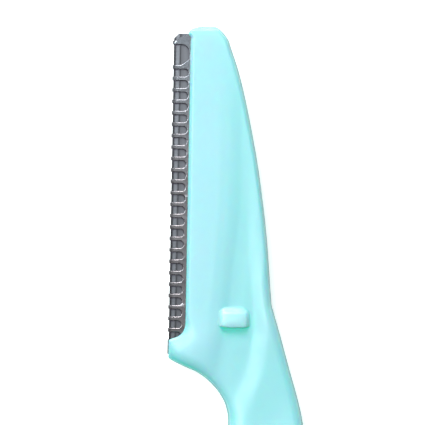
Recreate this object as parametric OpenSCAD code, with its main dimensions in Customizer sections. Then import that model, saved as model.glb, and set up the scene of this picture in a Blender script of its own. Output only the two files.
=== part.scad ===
// Eyebrow razor: a moulded plastic handle that holds a straight steel blade and its folded micro-guard.
// All sizes are in millimetres. The razor lies on its back: +Z is up out of the broad face of the head,
// +Y points along the cutting edge towards the tip, and the cutting side faces -X.
// Two measures place everything: s runs down from the tip along the razor, and e runs in from the
// cutting edge across it. The plastic is alike above and below its middle plane.

/* [Overall] */
// Length from the tip of the head to the end of the grip
total_len = 150; // [135:1:165]
// Thickness of the grip between its two flats
grip_t = 6.5; // [5.8:0.1:7.5]

/* [Head] */
// Distance from the tip to the lower corner of the chin
head_len = 41.4; // [39:0.1:44]
// Thickness of the flat paddle of the head
head_t = 2.6; // [2.2:0.1:3.2]
// Distance from the tip to the bend where the spine runs into the neck
spine_len = 34; // [33:0.5:35.5]
// Width of the head at that bend, from the cutting edge to the spine
head_w = 12.75; // [12:0.05:13.4]
// Width of the head at the slanted corner of the tip
corner_w = 7.1; // [6.6:0.1:7.6]
// Distance from the tip down to the end of the slanted corner
corner_drop = 2.4; // [2:0.1:3]
// Distance from the cutting edge to the near end of the flat tip
tip_near = 3.15; // [2.8:0.05:3.4]
// Distance from the cutting edge to the far end of the flat tip
tip_far = 5.2; // [4.8:0.1:5.6]
// Radius that rounds the rims of the head over to the middle plane
head_rim_r = 1.5; // [1.1:0.1:1.8]
// Depth of the soft valley between the paddle and the spine
valley_depth = 0.22; // [0.05:0.01:0.3]
// Height of the crest above the paddle beside the stop nub
crest_h = 0.55; // [0.2:0.05:0.8]

/* [Chin] */
// Height of the chin below the foot of the blade window
chin_h = 2.2; // [1.8:0.1:2.6]
// Height of the curve that leads from the blade window out to the chin
chin_curve_h = 2.2; // [1.8:0.1:2.6]
// Height that the chin bulges above the paddle
chin_bulge = 0.15; // [0.05:0.05:0.4]
// Plastic left in the chin below the foot of the steel
chin_floor = 0.25; // [0.2:0.05:0.6]

/* [Neck] */
// Distance down from the chin to the deepest point of the finger notch
notch_drop = 7.5; // [6.5:0.1:8.5]
// Depth of the finger notch, from the cutting edge
notch_depth = 7.6; // [6.8:0.1:8.2]
// Width of the neck at the deepest point of the notch
neck_w = 9.3; // [8.4:0.1:10.5]
// Thickness of the neck there, beside the crest
neck_t = 4.4; // [3.8:0.1:5.4]
// Depth of the hollow for the thumb
thumb_depth = 0.35; // [0.1:0.05:0.6]

/* [Grip] */
// Distance from the tip to the widest part of the grip
swell_len = 60; // [57:1:66]
// Width of the grip there
swell_w = 12.3; // [11:0.1:13.5]
// Distance from the cutting edge to the near side of the grip there
swell_near = 6.2; // [5.4:0.1:7]
// Width of the grip before its rounded end
tail_w = 9; // [7.5:0.1:10.5]
// Distance from the cutting edge to the near side of the grip before its end
tail_near = 3.7; // [2.5:0.1:5]
// Thickness of the grip at its end
tail_t = 5.2; // [4.4:0.1:5.8]
// Length of the rounded end
tail_round = 5; // [4:0.1:6]
// Radius that rounds the sides of the grip over to the middle plane
grip_rim_r = 3.4; // [2.6:0.1:3.6]

/* [Stop nub] */
// Length of the oblong nub across the head
nub_len = 3.6; // [3:0.1:4.4]
// Width of the nub along the head
nub_w = 2.1; // [1.6:0.1:2.6]
// Height of the nub above the paddle
nub_h = 0.9; // [0.6:0.05:1.2]
// Radius of the rounded rim on the nub's top
nub_rim_r = 0.45; // [0.2:0.05:0.6]
// Distance from the tip to the middle of the nub
nub_s = 36.25; // [35:0.05:38]
// Distance from the cutting edge to the middle of the nub
nub_e = 7.95; // [7.4:0.05:8.6]

/* [Blade] */
// Thickness of the blade strip
blade_t = 0.25; // [0.2:0.01:0.3]
// Width of the blade strip from the cutting edge to its back
blade_w = 4.6; // [4.4:0.1:4.8]
// Distance from the tip to the near end of the blade
blade_start = 0.9; // [0.8:0.05:1.1]
// Width of the ground bevel behind the cutting edge
bevel_w = 0.75; // [0.5:0.05:1]
// Chamfer on the two corners of the blade at its edge
blade_chamfer = 0.6; // [0.3:0.05:0.8]

/* [Guard] */
// Thickness of the folded guard sheet
sheet_t = 0.12; // [0.08:0.01:0.14]
// Gap between the guard sheet and the blade
sheet_gap = 0.02; // [0.01:0.005:0.04]
// Gap between the inside of the fold and the cutting edge
nose_gap = 0.03; // [0.01:0.005:0.06]
// Width of each leaf of the guard, from the cutting edge
leaf_w = 4.25; // [4:0.05:4.3]
// Chamfer on the two corners of the guard at its fold
guard_chamfer = 0.95; // [0.7:0.05:1.1]
// Distance from the tip to the first slot
slot_start = 2.3; // [2.2:0.05:2.5]
// Height of the large first slot
first_slot_h = 2.55; // [2:0.05:2.7]
// Depth of the large first slot, from the cutting edge
first_slot_depth = 1.93; // [1.75:0.01:1.98]
// Number of bars that follow the first slot
bar_count = 25; // [18:1:30]
// Width of one bar along the edge
bar_w = 0.5; // [0.4:0.01:0.6]
// Height of the plain strip below the last slot
foot_strip = 2.03; // [1.6:0.01:2.6]
// Depth of the uppermost narrow slot, from the cutting edge
slot_depth_top = 1.8; // [1.5:0.05:1.9]
// Depth of the lowest narrow slot, from the cutting edge
slot_depth_foot = 1.45; // [1.2:0.05:1.7]

/* [Seat] */
// Width of steel that shows beside the plastic
window_w = 2.05; // [2:0.05:2.2]
// Number of anchor holes through blade and guard
anchor_count = 3; // [2:1:4]
// Radius of one anchor hole
anchor_r = 0.7; // [0.5:0.05:0.8]
// Gap left between the plastic and the steel all round
seat_gap = 0.02; // [0.01:0.005:0.04]

/* [Hidden] */

// Overrun of every cut beyond the material
cut = 1;
// Sides of the small round forms
round_sides = 48;
// Half height of the parting land that runs round the rim of the plastic
land = 0.2;
// Share of its full thickness that the plastic keeps where the steel comes out of it
lip_share = 0.38;
// Rise of the grip's crown that the two flats trim off
crown = 0.12;
// Share of its half width to which the rounded end narrows before it is cut blunt
blunt_share = 0.98;

mid_z = grip_t / 2;
swell_far = swell_near + swell_w;
tail_far = tail_near + tail_w;
tail_start = total_len - tail_round;
bow_len = tail_start - swell_len;
chin_top = head_len - chin_h;
curve_top = chin_top - chin_curve_h;
notch_s = head_len + notch_drop;
neck_far = notch_depth + neck_w;
blade_end = head_len - chin_floor;
blade_len = blade_end - blade_start;
fold_in_r = blade_t / 2 + sheet_gap;
fold_r = fold_in_r + sheet_t;
nose_out = nose_gap + sheet_t;
anchor_e = (window_w + leaf_w) / 2;
first_bar = slot_start + first_slot_h;
pitch = (blade_end - foot_strip - first_bar) / (bar_count - 1);

// The frame's middle lies halfway between the fold of the guard and the widest part of the grip
mid_e = (swell_far - nose_out) / 2;

// Value at s of the smooth curve through the knots [place, value], which never overshoots them
function secant(k, i) = (k[i + 1][1] - k[i][1]) / (k[i + 1][0] - k[i][0]);
function knot_slope(k, i) =
    i == 0 ? secant(k, 0) :
    i == len(k) - 1 ? secant(k, i - 1) :
    secant(k, i - 1) * secant(k, i) <= 0 ? 0 :
    2 / (1 / secant(k, i - 1) + 1 / secant(k, i));
function stretch(k, s, i = 0) = i >= len(k) - 2 || s < k[i + 1][0] ? i : stretch(k, s, i + 1);
function curve(k, s) =
    let (i = stretch(k, s), run = k[i + 1][0] - k[i][0])
    let (t = min(max((s - k[i][0]) / run, 0), 1))
    (2 * pow(t, 3) - 3 * pow(t, 2) + 1) * k[i][1]
    + (pow(t, 3) - 2 * pow(t, 2) + t) * run * knot_slope(k, i)
    + (3 * pow(t, 2) - 2 * pow(t, 3)) * k[i + 1][1]
    + (pow(t, 3) - pow(t, 2)) * run * knot_slope(k, i + 1);

// Knots of a table of shares, spread between two corners [place, value]
function spread(shares, from, to) =
    [for (p = shares) [from[0] + p[0] * (to[0] - from[0]), from[1] + p[1] * (to[1] - from[1])]];

// Quarter round that rises from 0 at a rim to 1, and a soft hump of height 1
function rim(t) = sqrt(1 - pow(1 - min(max(t, 0), 1), 2));
function hump(t) = exp(-t * t);

// Outlines in plan, as shares of the way along and of the change in width on each stretch
corner_shares = [[0.15, 0.32], [0.7, 0.87]];
spine_shares = [[0.1, 0.18], [0.25, 0.39], [0.5, 0.665], [0.75, 0.86]];
far_side_shares = [[0.25, 0.09], [0.5, 0.32], [0.75, 0.64]];
tip_shares = [[0.3, 0.7]];
chin_shares = [[0.45, 0.1], [0.78, 0.45], [0.92, 0.85]];
notch_shares = [[0.04, 0.05], [0.137, 0.249], [0.233, 0.475], [0.38, 0.675],
                [0.577, 0.85], [0.776, 0.955]];
near_side_shares = [[0.25, 0.08], [0.5, 0.26], [0.75, 0.56]];

far_knots = concat(
    [[0, tip_far]], spread(corner_shares, [0, tip_far], [corner_drop, corner_w]),
    [[corner_drop, corner_w]], spread(spine_shares, [corner_drop, corner_w], [spine_len, head_w]),
    [[spine_len, head_w], [notch_s, neck_far], [swell_len, swell_far]],
    spread(far_side_shares, [swell_len, swell_far], [tail_start, tail_far]),
    [[tail_start, tail_far], [total_len, tail_far - (swell_far - tail_far) * tail_round / bow_len]]);

near_knots = concat(
    [[0, tip_near]], spread(tip_shares, [0, tip_near], [blade_start, window_w]),
    [[blade_start, window_w], [curve_top, window_w]],
    spread(chin_shares, [curve_top, window_w], [chin_top, 0]), [[chin_top, 0], [head_len, 0]],
    spread(notch_shares, [head_len, 0], [notch_s, notch_depth]),
    [[notch_s, notch_depth], [swell_len, swell_near]],
    spread(near_side_shares, [swell_len, swell_near], [tail_start, tail_near]),
    [[tail_start, tail_near], [total_len, tail_near - (swell_near - tail_near) * tail_round / bow_len]]);

// The rounded end draws both sides in towards the middle of the grip
function end_round(s) = s < tail_start ? 1 : sqrt(1 - pow(blunt_share * (s - tail_start) / tail_round, 2));
function middle(s) = (curve(near_knots, s) + curve(far_knots, s)) / 2;
function half_w(s) = end_round(s) * (curve(far_knots, s) - curve(near_knots, s)) / 2;
function near(s) = middle(s) - half_w(s);
function far(s) = middle(s) + half_w(s);

// Distance in from each side, square to the outline. Round the chin and the notch the outline turns
// so fast that its own points are measured as well.
probe = total_len / 3000;
turn_steps = 80;
turn_line = [for (i = [0 : turn_steps])
    let (s = curve_top + (swell_len - curve_top) * i / turn_steps) [near(s), s]];
function lean(drift) = sqrt(1 + pow(drift / (2 * probe), 2));
function from_near(e, s) =
    s > tail_start ? e - near(s) :
    let (square_in = (e - near(s)) / lean(near(s + probe) - near(s - probe)))
    s < curve_top - notch_drop || s > swell_len ? square_in :
    min(square_in, min([for (p = turn_line) norm(p - [e, s])]));
function from_far(e, s) =
    (far(s) - e) / (s > tail_start ? 1 : lean(far(s + probe) - far(s - probe)));

// Half thickness of the plastic away from its rims. It thins towards the tip, grows from the head to
// the grip and stays above the two flats for most of the grip.
tip_thin_share = 0.92;
chin_rise_share = 0.17;
crown_shares = [0.12, 0.7];
thick_knots = [[0, tip_thin_share * head_t / 2], [corner_drop, head_t / 2], [spine_len, head_t / 2],
    [head_len, (head_t + chin_rise_share * (neck_t - head_t)) / 2], [notch_s, neck_t / 2],
    [swell_len, mid_z - crown], [swell_len + crown_shares[0] * bow_len, mid_z + crown],
    [swell_len + crown_shares[1] * bow_len, mid_z + crown],
    [tail_start, (grip_t + tail_t) / 4], [total_len, tail_t / 2]];

// The crest starts beside the valley, passes the nub and runs down the near side of the grip.
// Its line and width are shares of the neck's far side, its height shares of the crest beside the nub.
crest_line_shares = [[0.5, 0.57], [0.57, 0.589], [0.644, 0.631], [0.722, 0.672], [0.773, 0.689],
    [0.824, 0.678], [0.888, 0.621], [0.939, 0.572], [1, 0.517], [1.1, 0.49], [1.25, 0.5]];
crest_width_shares = [[0.5, 0.05], [0.65, 0.065], [0.8, 0.12], [0.9, 0.11], [1, 0.09], [1.25, 0.12]];
crest_rise_shares = [[0.5, 0], [0.6, 0.25], [0.72, 0.9], [0.8, 1], [0.9, 0.95], [1, 0.75], [1.25, 0]];
crest_line = spread(crest_line_shares, [0, 0], [notch_s, neck_far]);
crest_width = spread(crest_width_shares, [0, 0], [notch_s, neck_far]);
crest_rise = spread(crest_rise_shares, [0, 0], [notch_s, crest_h]);

// The valley runs from the upper head down past the nub and out into the notch
valley_line_shares = [[0.2, 0.63], [0.5, 0.67], [0.67, 0.605], [0.8, 0.55], [0.93, 0.51], [0.985, 0.48],
    [1.03, 0.36]];
valley_fall_shares = [[0.2, 0], [0.35, 0.5], [0.5, 1], [0.8, 0.9], [0.9, 1.1], [1, 1.5], [1.06, 0]];
valley_line = spread(valley_line_shares, [0, 0], [head_len, head_w]);
valley_fall = spread(valley_fall_shares, [0, 0], [head_len, valley_depth]);
valley_width_share = 0.14;

// Middle of the chin's bulge and of the thumb's hollow, and how far each spreads
chin_place = [window_w, chin_top + chin_floor];
chin_spread_share = 0.2;
thumb_place = [notch_depth + neck_w / 2, notch_s + notch_drop / 3];
thumb_spread = [0.27 * neck_w, 0.9 * notch_drop];

function full_thick(e, s) =
    curve(thick_knots, s)
    + curve(crest_rise, s) * hump((e - curve(crest_line, s)) / curve(crest_width, s))
    - curve(valley_fall, s) * hump((e - curve(valley_line, s)) / (valley_width_share * head_w))
    + chin_bulge * hump(norm([e, s] - chin_place) / (chin_spread_share * head_w))
    - thumb_depth * hump((e - thumb_place[0]) / thumb_spread[0])
        * hump((s - thumb_place[1]) / thumb_spread[1])
    - 2 * crown * pow((e - middle(s)) / half_w(s), 2) * min(max((s - notch_s) / notch_drop, 0), 1);

// The rims round over at these radii, and the near one starts from the lip beside the steel
lip_rim_share = 0.55;
notch_rim_share = 0.8;
neck_rim_share = 1.4;
near_rim = [[0, lip_rim_share * head_rim_r], [curve_top, lip_rim_share * head_rim_r],
    [head_len, head_rim_r], [notch_s, notch_rim_share * head_rim_r], [swell_len, grip_rim_r],
    [total_len, grip_rim_r]];
far_rim = [[0, head_rim_r], [spine_len, head_rim_r], [notch_s, neck_rim_share * head_rim_r],
    [swell_len, grip_rim_r], [total_len, grip_rim_r]];
lip = [[blade_end, lip_share], [blade_end + chin_h / 2, 0]];

function half_thick(e, s) =
    let (keep = curve(lip, s))
    let (near_round = keep + (1 - keep) * rim(from_near(e, s) / (end_round(s) * curve(near_rim, s))))
    let (far_round = rim(from_far(e, s) / (end_round(s) * curve(far_rim, s))))
    let (ends_round = rim(s / head_rim_r) * rim((total_len - s) / tail_round))
    land + (full_thick(e, s) - land) * near_round * far_round * ends_round;

// Places along the razor where the skin has a ring of points, closer together where it turns fast
ring_points = 18;
end_rings = 7;
head_rings = 16;
chin_rings = 9;
notch_rings = 12;
neck_rings = 7;
grip_rings = 14;
function even(from, to, count) = [for (i = [0 : count - 1]) from + (to - from) * i / count];
rings = concat(
    [for (i = [0 : end_rings - 1]) corner_drop * (1 - cos(90 * i / end_rings))],
    even(corner_drop, curve_top, head_rings), even(curve_top, head_len, chin_rings),
    even(head_len, notch_s, notch_rings), even(notch_s, swell_len, neck_rings),
    even(swell_len, tail_start, grip_rings),
    [for (i = [0 : end_rings]) tail_start + tail_round * sin(90 * i / end_rings)]);

module skin() {
    side = 2 * (ring_points + 1);
    points = [for (s = rings, face = [1, -1], j = [0 : ring_points])
        let (across = face > 0 ? j : ring_points - j)
        let (e = middle(s) - half_w(s) * cos(180 * across / ring_points))
        [e - mid_e, total_len / 2 - s, mid_z + face * half_thick(e, s)]];
    // Each four-cornered patch of the wall is split along its shorter diagonal
    wall = [for (i = [0 : len(rings) - 2], j = [0 : side - 1])
        let (a = i * side + j, b = i * side + (j + 1) % side)
        each norm(points[a] - points[b + side]) < norm(points[b] - points[a + side]) ?
            [[a, b, b + side], [a, b + side, a + side]] :
            [[a, b, a + side], [b, b + side, a + side]]];
    ends = [for (i = [0, len(rings) - 1], j = [0 : ring_points - 1])
        let (a = i * side + j, b = i * side + side - 1 - j)
        each i == 0 ? [[a, b, b - 1], [a, b - 1, a + 1]] : [[a, b - 1, b], [a, a + 1, b - 1]]];
    polyhedron(points, concat(wall, ends), convexity = 6);
}

// Puts a form drawn in e and -s, or a strip drawn in e and z, at its place on the razor
module at(e, s, z) {
    translate([e - mid_e, total_len / 2 - s, z]) children();
}
module strip(start, length) {
    at(0, start, mid_z) rotate([90, 0, 0]) linear_extrude(length) children();
}

// Middle of each anchor hole along the blade
anchor_places = [for (i = [0 : anchor_count - 1]) blade_start + blade_len * (i + 0.5) / anchor_count];

module nub_outline() {
    nub_top = head_t / 2 + nub_h;
    flat_top = nub_top - nub_rim_r;
    flat_side = nub_w / 2 - nub_rim_r;
    translate([0, -nub_top]) square([flat_side, 2 * nub_top]);
    translate([0, -flat_top]) square([nub_w / 2, 2 * flat_top]);
    for (up = [-1, 1])
        translate([flat_side, up * flat_top]) circle(r = nub_rim_r, $fn = round_sides);
}

// One oblong form passes right through the head and so makes the nub on each face
module stop_nubs() {
    end_reach = (nub_len - nub_w) / 2;
    at(nub_e, nub_s, mid_z) {
        for (side = [-1, 1]) {
            translate([side * end_reach, 0, 0]) rotate_extrude($fn = round_sides) nub_outline();
            rotate([0, 0, side * 90]) translate([0, end_reach, 0]) rotate([90, 0, 0])
                linear_extrude(2 * end_reach) nub_outline();
        }
    }
}

// Room for the steel, less the pegs that fill its anchor holes
module seat() {
    difference() {
        strip(blade_start - seat_gap, blade_len + 2 * seat_gap) {
            translate([-nose_out - cut, -fold_r - seat_gap])
                square([nose_out + cut + leaf_w + seat_gap, 2 * (fold_r + seat_gap)]);
            translate([0, -blade_t / 2 - seat_gap])
                square([blade_w + seat_gap, blade_t + 2 * seat_gap]);
        }
        for (s = anchor_places)
            at(anchor_e, s, 0) cylinder(r = anchor_r - seat_gap, h = grip_t, $fn = round_sides);
    }
}

module handle() {
    color("paleturquoise")
    difference() {
        union() {
            intersection() {
                skin();
                at(-cut, total_len + cut, 0) cube([swell_far + 2 * cut, total_len + 2 * cut, grip_t]);
            }
            stop_nubs();
        }
        seat();
    }
}

module anchor_holes() {
    for (s = anchor_places)
        at(anchor_e, s, mid_z - fold_r - cut)
            cylinder(r = anchor_r, h = 2 * (fold_r + cut), $fn = round_sides);
}

// Cuts both corners off a strip whose near side lies at e
module corner_cuts(e, chamfer) {
    reach = chamfer + cut;
    for (place = [[blade_start, 1], [blade_end, -1]])
        at(e, place[0], mid_z - fold_r - cut) scale([1, place[1], 1])
            linear_extrude(2 * (fold_r + cut)) polygon([[-cut, cut], [reach, cut], [-cut, -reach]]);
}

module blade() {
    color("silver")
    difference() {
        strip(blade_start, blade_len)
            polygon([[0, 0], [bevel_w, -blade_t / 2], [blade_w, -blade_t / 2],
                     [blade_w, blade_t / 2], [bevel_w, blade_t / 2]]);
        corner_cuts(0, blade_chamfer);
        anchor_holes();
    }
}

// One slot through the fold, h high, with a round inner end at the given depth
module slot(s, h, depth) {
    at(0, s, mid_z - fold_r - cut) linear_extrude(2 * (fold_r + cut)) {
        translate([-nose_out - cut, -h]) square([nose_out + cut + depth - h / 2, h]);
        translate([depth - h / 2, -h / 2]) circle(d = h, $fn = round_sides);
    }
}

module fold(r, length) {
    strip(blade_start - length, blade_len + 2 * length) {
        translate([fold_r - nose_out, 0]) circle(r = r, $fn = round_sides);
        translate([fold_r - nose_out, -r]) square([leaf_w + nose_out - fold_r + length, 2 * r]);
    }
}

module blade_guard() {
    color("lightsteelblue")
    difference() {
        fold(fold_r, 0);
        fold(fold_in_r, cut);
        slot(slot_start, first_slot_h, first_slot_depth);
        for (i = [0 : bar_count - 2])
            slot(first_bar + bar_w + i * pitch, pitch - bar_w,
                slot_depth_top + (slot_depth_foot - slot_depth_top) * i / (bar_count - 1));
        corner_cuts(-nose_out, guard_chamfer);
        anchor_holes();
    }
}

handle();
blade();
blade_guard();
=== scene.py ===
# %% [markdown]
# ## An eyebrow razor, seen from straight above
# This lesson dresses a small razor: one mint plastic moulding that holds a steel blade and, folded over
# the blade's edge, a thin steel guard with a row of slots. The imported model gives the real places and
# sizes. Each piece here takes the place of one of its solids, with softer forms and a real finish.

# %% The frame
import math

import bmesh
import bpy
import numpy as np
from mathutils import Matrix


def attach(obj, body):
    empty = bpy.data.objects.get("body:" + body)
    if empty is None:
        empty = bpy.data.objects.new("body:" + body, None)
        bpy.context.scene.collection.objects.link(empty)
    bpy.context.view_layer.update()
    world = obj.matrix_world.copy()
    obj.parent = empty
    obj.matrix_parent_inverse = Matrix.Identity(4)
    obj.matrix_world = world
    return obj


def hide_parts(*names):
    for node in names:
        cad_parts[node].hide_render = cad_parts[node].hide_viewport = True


MM = 0.001
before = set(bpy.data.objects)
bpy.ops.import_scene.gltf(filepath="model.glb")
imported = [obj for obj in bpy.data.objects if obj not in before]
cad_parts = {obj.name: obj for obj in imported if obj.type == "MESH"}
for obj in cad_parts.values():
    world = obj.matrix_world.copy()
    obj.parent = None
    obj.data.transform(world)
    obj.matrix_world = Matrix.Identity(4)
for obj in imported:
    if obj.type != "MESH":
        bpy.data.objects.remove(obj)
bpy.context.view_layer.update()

# %% [markdown]
# ### Two measures place everything
# A razor is easiest to describe along its own blade. Here `s` runs down from the tip of the head, and
# `e` runs in from the cutting edge, both in millimetres. Blender works in metres, with the razor's
# length along Y, so one small helper turns the first kind of place into the second.

# %% Measures
total_len = 150
grip_t = 6.5
near_most, far_most = -0.15, 18.5
mid_z = grip_t / 2
mid_e = (near_most + far_most) / 2


def place(e, s, z=0.0):
    """A place in metres from e, s and the height above the razor's middle plane, in millimetres."""
    return (MM * (e - mid_e), MM * (total_len / 2 - s), MM * z)


print("The blade's edge lies at x =", round(place(0, 0)[0] / MM, 3), "mm")

# %% [markdown]
# ### The camera
# The photograph looks straight down on the head and leaves most of the grip outside. A long lens from
# far away keeps the outline true. The razor leans a degree to the right, and the camera is rolled by
# as much, because the razor itself stays straight in its frame. One named point, the upper left corner
# of the plastic, ties the picture to the razor's two measures.

# %% Camera
photo_px = 425
px_per_mm = 8
lean_deg = 1.045
edge_px = (174.0, 44.0)
edge_place = (0.0, 2.212)
lens_mm = 200
sensor_mm = 36
clip_near, clip_far = 0.01, 10

lean = math.radians(lean_deg)
across_px = photo_px / 2 - edge_px[0]
down_px = photo_px / 2 - edge_px[1]
look_e = edge_place[0] + (across_px * math.cos(lean) + down_px * math.sin(lean)) / px_per_mm
look_s = edge_place[1] + (down_px * math.cos(lean) - across_px * math.sin(lean)) / px_per_mm
field_mm = photo_px / px_per_mm
camera_data = bpy.data.cameras.new("camera")
camera_data.lens = lens_mm
camera_data.sensor_width = sensor_mm
camera = bpy.data.objects.new("camera", camera_data)
bpy.context.scene.collection.objects.link(camera)
camera.location = place(look_e, look_s, mid_z + field_mm * lens_mm / sensor_mm)
camera.rotation_euler = (0, 0, lean)
camera_data.clip_start = clip_near
camera_data.clip_end = clip_far
bpy.context.scene.camera = camera
print("The camera looks at e", round(look_e, 2), "and s", round(look_s, 2), "mm")

# %% [markdown]
# ### Helpers for working as by hand
# An operator acts on whatever is selected. These helpers clear the selection, pick vertices, edges or
# faces by a test on their place, and apply a modifier at once, so that each later cell stays short.
# Two places that are less than `touching` metres apart count as one.

# %% Helpers
touching = 1e-6


def clear_selection():
    """Nothing is selected and no object is in edit mode."""
    if bpy.context.mode != "OBJECT":
        bpy.ops.object.mode_set(mode="OBJECT")
    bpy.ops.object.select_all(action="DESELECT")


def only(piece):
    """Makes one piece the active and only selected object."""
    clear_selection()
    bpy.context.view_layer.objects.active = piece
    piece.select_set(True)


def edit(piece, parts="VERT"):
    """Opens a piece in edit mode with nothing selected."""
    only(piece)
    bpy.ops.object.mode_set(mode="EDIT")
    bpy.ops.mesh.select_mode(type=parts)
    bpy.ops.mesh.select_all(action="DESELECT")


def pick(test, parts="verts"):
    """Selects the vertices, edges or faces of the piece in edit mode that pass the test."""
    mesh = bmesh.from_edit_mesh(bpy.context.edit_object.data)
    found = 0
    for part in getattr(mesh, parts):
        chosen = bool(test(part))
        part.select_set(chosen)
        found += chosen
    mesh.select_flush_mode()
    bmesh.update_edit_mesh(bpy.context.edit_object.data)
    return found


def bisect(at, normal, **settings):
    """Cuts the whole piece in edit mode along a plane through a place e, s."""
    bpy.ops.mesh.select_all(action="SELECT")
    bpy.ops.mesh.bisect(plane_co=place(*at), plane_no=normal, **settings)


def apply_modifier(piece, kind, **settings):
    """Adds a modifier, sets it and applies it."""
    only(piece)
    modifier = piece.modifiers.new(kind, kind)
    for setting, value in settings.items():
        setattr(modifier, setting, value)
    bpy.ops.object.modifier_apply(modifier=modifier.name)


def cut_away(piece, *cutters):
    """Takes each cutter out of a piece and removes the cutter."""
    for cutter in cutters:
        apply_modifier(piece, "BOOLEAN", operation="DIFFERENCE", solver="EXACT", object=cutter)
        bpy.data.objects.remove(cutter)


def smooth(piece, crease):
    """Smooths a piece, apart from edges that turn by more than the crease angle."""
    only(piece)
    bpy.ops.object.shade_smooth_by_angle(angle=crease)


def report(piece):
    """Prints how large a finished piece is and how many triangles it has."""
    size = [round(side / MM, 2) for side in piece.dimensions]
    triangles = sum(len(face.vertices) - 2 for face in piece.data.polygons)
    print(f"{piece.name}: {size} mm, {triangles} triangles")


print("Helpers are ready")

# %% [markdown]
# ### Helpers for plain shapes
# A part that is moved in edit mode keeps its origin at the razor's own. That keeps every place in every
# piece measured from the same point. The last two helpers read and set all vertices of a piece at once.


# %% Plain shapes
def name_new(name):
    """Names the object that an operator has just added and returns it."""
    piece = bpy.context.object
    piece.name = piece.data.name = name
    return piece


def shift(piece, move, resize=None):
    """Resizes a piece about the razor's origin, if asked, and moves it, all in edit mode."""
    only(piece)
    bpy.ops.object.mode_set(mode="EDIT")
    bpy.ops.mesh.select_all(action="SELECT")
    if resize is not None:
        bpy.ops.transform.resize(value=resize, center_override=(0, 0, 0))
    bpy.ops.transform.translate(value=move)
    bpy.ops.object.mode_set(mode="OBJECT")


def raise_to_middle(piece):
    """Lifts a piece that was made about height zero up to the razor's middle plane."""
    shift(piece, (0, 0, mid_z * MM))


def join(pieces, name):
    """Makes one object of several."""
    clear_selection()
    for piece in pieces:
        piece.select_set(True)
    bpy.context.view_layer.objects.active = pieces[0]
    bpy.ops.object.join()
    return name_new(name)


def add_block(name, low, high):
    """A block between two corners, each given as e, s and height in millimetres."""
    clear_selection()
    a, b = np.array(place(*low)), np.array(place(*high))
    bpy.ops.mesh.primitive_cube_add(size=1)
    block = name_new(name)
    shift(block, tuple((a + b) / 2), tuple(np.abs(b - a)))
    return block


def add_pegs(name, radius, half_height, places, sides=48):
    """Upright round pegs at the given places, as one object."""
    pegs = []
    for e, s in places:
        clear_selection()
        bpy.ops.mesh.primitive_cylinder_add(vertices=sides, radius=radius * MM, depth=2 * half_height * MM)
        pegs.append(name_new(name))
        shift(pegs[-1], place(e, s))
    return join(pegs, name)


def get_places(piece):
    """Places of all vertices of a piece, one in each row."""
    flat = np.empty(3 * len(piece.data.vertices))
    piece.data.vertices.foreach_get("co", flat)
    return flat.reshape(-1, 3)


def set_places(piece, places):
    """Puts every vertex of a piece in its new place."""
    piece.data.vertices.foreach_set("co", places.ravel())
    piece.data.update()


print("Shape helpers are ready")

# %% [markdown]
# ### Smooth lines from a few knots
# The outline of the moulding and every line on its surface are smooth curves through a few knots. The
# slope at a knot is the harmonic mean of its neighbours' slopes, which keeps the curve from swinging
# past its knots, as a flexible batten would. A spline tool would swing out beside a tight turn, and
# then the rim there would be wavy. `spread` stretches a table of shares between two corners.

# %% Curves
def curve(knots, s):
    """Value at s of the smooth curve through the knots (place, value), which never overshoots them."""
    at, value = np.array(knots, float).T
    run = np.diff(at)
    secant = np.diff(value) / run
    slope = np.concatenate([secant[:1], np.zeros(len(secant) - 1), secant[-1:]])
    steady = np.nonzero(secant[:-1] * secant[1:] > 0)[0]
    slope[steady + 1] = 2 / (1 / secant[steady] + 1 / secant[steady + 1])
    i = np.clip(np.searchsorted(at, s, side="right") - 1, 0, len(run) - 1)
    t = np.clip((s - at[i]) / run[i], 0, 1)
    return ((2 * t**3 - 3 * t**2 + 1) * value[i] + (t**3 - 2 * t**2 + t) * run[i] * slope[i]
            + (3 * t**2 - 2 * t**3) * value[i + 1] + (t**3 - t**2) * run[i] * slope[i + 1])


def spread(shares, start, end):
    """Knots of a table of shares, stretched between two corners (place, value)."""
    return [(start[0] + a * (end[0] - start[0]), start[1] + b * (end[1] - start[1])) for a, b in shares]


def rim(t):
    """Quarter round that rises from 0 at a rim to 1."""
    return np.sqrt(1 - (1 - np.clip(t, 0, 1)) ** 2)


def hump(t):
    """Soft hump of height 1 that fades on both sides."""
    return np.exp(-t * t)


def ease(t):
    """Soft step from 0 to 1, level at both ends."""
    t = np.clip(t, 0, 1)
    return t * t * (3 - 2 * t)


def spaced(low, high, count, crowds=(), fine_count=6001):
    """Places from low to high, closer together round each crowd (middle, reach, strength)."""
    fine = np.linspace(low, high, fine_count)
    density = np.ones_like(fine)
    for middle, reach, strength in crowds:
        density += strength * hump((fine - middle) / reach)
    total = np.concatenate([[0], np.cumsum(density[1:] + density[:-1])])
    return np.interp(np.linspace(0, total[-1], count), total, fine)


print("Halfway between knots at heights 0, 1 and 1 a curve passes", curve([(0, 0), (1, 1), (2, 1)], 0.5))

# %% [markdown]
# ### The outline of the moulding
# These are the razor's own sizes. The far side runs from the slanted corner of the tip down the convex
# spine to the neck and the grip. The near side runs beside the steel, out round the chin, in to the
# deepest point of the finger notch and on down the grip. Close to the tip the plastic hooks a little
# over the guard's rounded corner. The main corners are sizes, and the shares say how each stretch
# between two corners bends, so a longer head keeps its character.

# %% Outline
head_len, head_t = 41.4, 2.6
spine_len, head_w = 34, 12.75
corner_drop, corner_w = 2.4, 7.1
tip_near, tip_far = 3.15, 5.2
blade_start, window_w = 0.9, 2.05
hook_reach, hook_back, hook_len = 0.24, 0.06, 0.62
chin_h, chin_curve_h, chin_floor = 2.2, 2.2, 0.25
notch_drop, notch_depth = 7.5, 7.6
neck_w = 9.3
swell_len, swell_w, swell_near = 60, 12.3, 6.2
tail_w, tail_near, tail_t, tail_round = 9, 3.7, 5.2, 5
blunt_share = 0.98

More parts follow.
